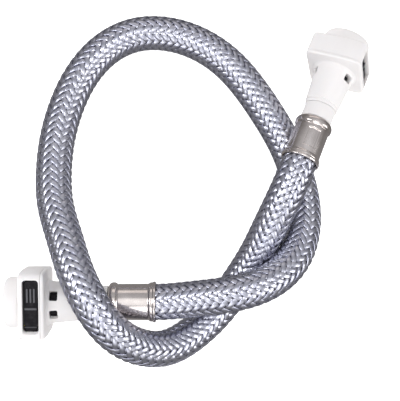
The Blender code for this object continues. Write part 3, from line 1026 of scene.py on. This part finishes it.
def make_end(frame, side, finishes):
    """Every piece of one fitting apart from the CAD nodes that stay."""
    matrix = end_frame(frame, side)
    coupler, latch = f"{side}_coupler", f"{side}_latch"
    pieces = [
        (make_ferrule, "ferrule_steel", "hose", "stainless_ferrule", "ferrule"),
        (make_stem, "moulded_white", "hose", "white_acetal", "stem"),
        (make_body, "moulded_white", coupler, "white_acetal", "coupler_body"),
        (make_housing, "moulded_white", coupler, "white_acetal", "latch_housing"),
        (make_mouth_ring, "moulded_white", coupler, "white_acetal", "mouth_ring"),
        (make_clip, "moulded_black", "hose", "black_plastic", "stem_retainer"),
        (make_spring, "spring_steel", coupler, "spring_steel", "latch_spring"),
        (make_button, "moulded_black", latch, "black_plastic", "latch_button"),
    ]
    for make, finish, body, slot, node in pieces:
        place(make(side, matrix, finishes[finish]), body, slot, f"{node}_{side}")


def finish_carried_nodes(frame, finishes):
    """Give the CAD nodes that stay their own node materials."""
    for side in SIDES:
        for finish, names in CARRIED_FINISHES.items():
            for name in names:
                node = frame["nodes"][f"{name}_{side}"]
                for slot in node.material_slots:
                    slot.material = finishes[finish]


# ---------------------------------------------------------------- stage


def make_camera():
    """A camera nearly straight above, with the frame's up along +Y."""
    lean, azimuth = radians(CAMERA_LEAN), radians(CAMERA_AZIMUTH)
    outward = Vector((sin(lean) * cos(azimuth), sin(lean) * sin(azimuth), cos(lean)))
    right = (-outward).cross(Vector((0.0, 1.0, 0.0))).normalized()
    up = outward.cross(right)
    data = bpy.data.cameras.new("camera")
    data.lens = CAMERA_LENS
    data.sensor_width = CAMERA_SENSOR
    data.sensor_fit = "HORIZONTAL"
    data.clip_start = 0.01
    camera = bpy.data.objects.new("camera", data)
    matrix = Matrix((right, up, outward)).transposed().to_4x4()
    matrix.translation = (Vector(CAMERA_TARGET) + outward * CAMERA_DISTANCE) * MM
    camera.matrix_world = matrix
    bpy.context.collection.objects.link(camera)
    bpy.context.scene.camera = camera


def make_floor():
    """A large pale floor just below the object."""
    s = Shader("floor_paint")
    tone = s.noise(s.coordinates(), scale=3.0, detail=2.0)
    s.set(
        Base_Color=s.ramp(tone, [(0.0, (0.90, 0.90, 0.90)), (1.0, (0.93, 0.93, 0.93))]),
        Roughness=0.9,
        Emission_Color=(1.0, 1.0, 1.0, 1.0),
        Emission_Strength=0.9,
    )
    bm = bmesh.new()
    bmesh.ops.create_grid(bm, x_segments=1, y_segments=1, size=FLOOR_SIZE)
    floor = bmesh_object("floor", bm, Matrix.Translation((0.0, 0.0, -FLOOR_DROP)), s.material)
    floor.visible_glossy = False


def add_lamp(name, location, size, power, colour):
    """A rectangular lamp pointed at the object."""
    data = bpy.data.lights.new(name, "AREA")
    data.shape = "RECTANGLE"
    data.size, data.size_y = size
    data.energy = power
    data.color = colour
    lamp = bpy.data.objects.new(name, data)
    lamp.location = location
    lamp.rotation_euler = (-Vector(location)).to_track_quat("-Z", "Y").to_euler()
    bpy.context.collection.objects.link(lamp)


def make_lights():
    """The lamps, and a dim room that is brighter above than at the horizon."""
    for lamp in LAMPS:
        add_lamp(*lamp)
    world = bpy.data.worlds.new("room")
    bpy.context.scene.world = world
    world.use_nodes = True
    tree = world.node_tree
    place = tree.nodes.new("ShaderNodeTexCoord")
    split = tree.nodes.new("ShaderNodeSeparateXYZ")
    # The direction's Z runs from minus one below to one above, so a half is the horizon.
    height = tree.nodes.new("ShaderNodeMapRange")
    height.inputs["From Min"].default_value = -1.0
    room = tree.nodes.new("ShaderNodeValToRGB")
    room.color_ramp.elements[0].position = 0.5
    room.color_ramp.elements[0].color = ROOM_AT_HORIZON
    room.color_ramp.elements[1].color = ROOM_ABOVE
    tree.links.new(place.outputs["Generated"], split.inputs[0])
    tree.links.new(split.outputs["Z"], height.inputs["Value"])
    tree.links.new(height.outputs[0], room.inputs["Fac"])
    tree.links.new(room.outputs["Color"], tree.nodes["Background"].inputs["Color"])
    bpy.context.scene.view_settings.view_transform = "Standard"


def main():
    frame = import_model()
    make_camera()

    finishes = {
        make.__name__: make()
        for make in (
            braid_steel,
            ferrule_steel,
            moulded_white,
            moulded_black,
            seal_rubber,
            liner_rubber,
            spring_steel,
        )
    }
    axes = {side: np.array(end_frame(frame, side).to_3x3().col[0]) for side in SIDES}
    path = HosePath(-axes["left"], axes["right"], LINER_DEPTH + STRAIGHT_GAP)
    place(make_braid(path, finishes["braid_steel"]), "hose", "stainless_braid", "braided_sleeve")
    place(make_liner(path, finishes["liner_rubber"]), "hose", "liner_rubber", "inner_tube")
    for side in SIDES:
        make_end(frame, side, finishes)
    finish_carried_nodes(frame, finishes)

    make_floor()
    make_lights()


main()
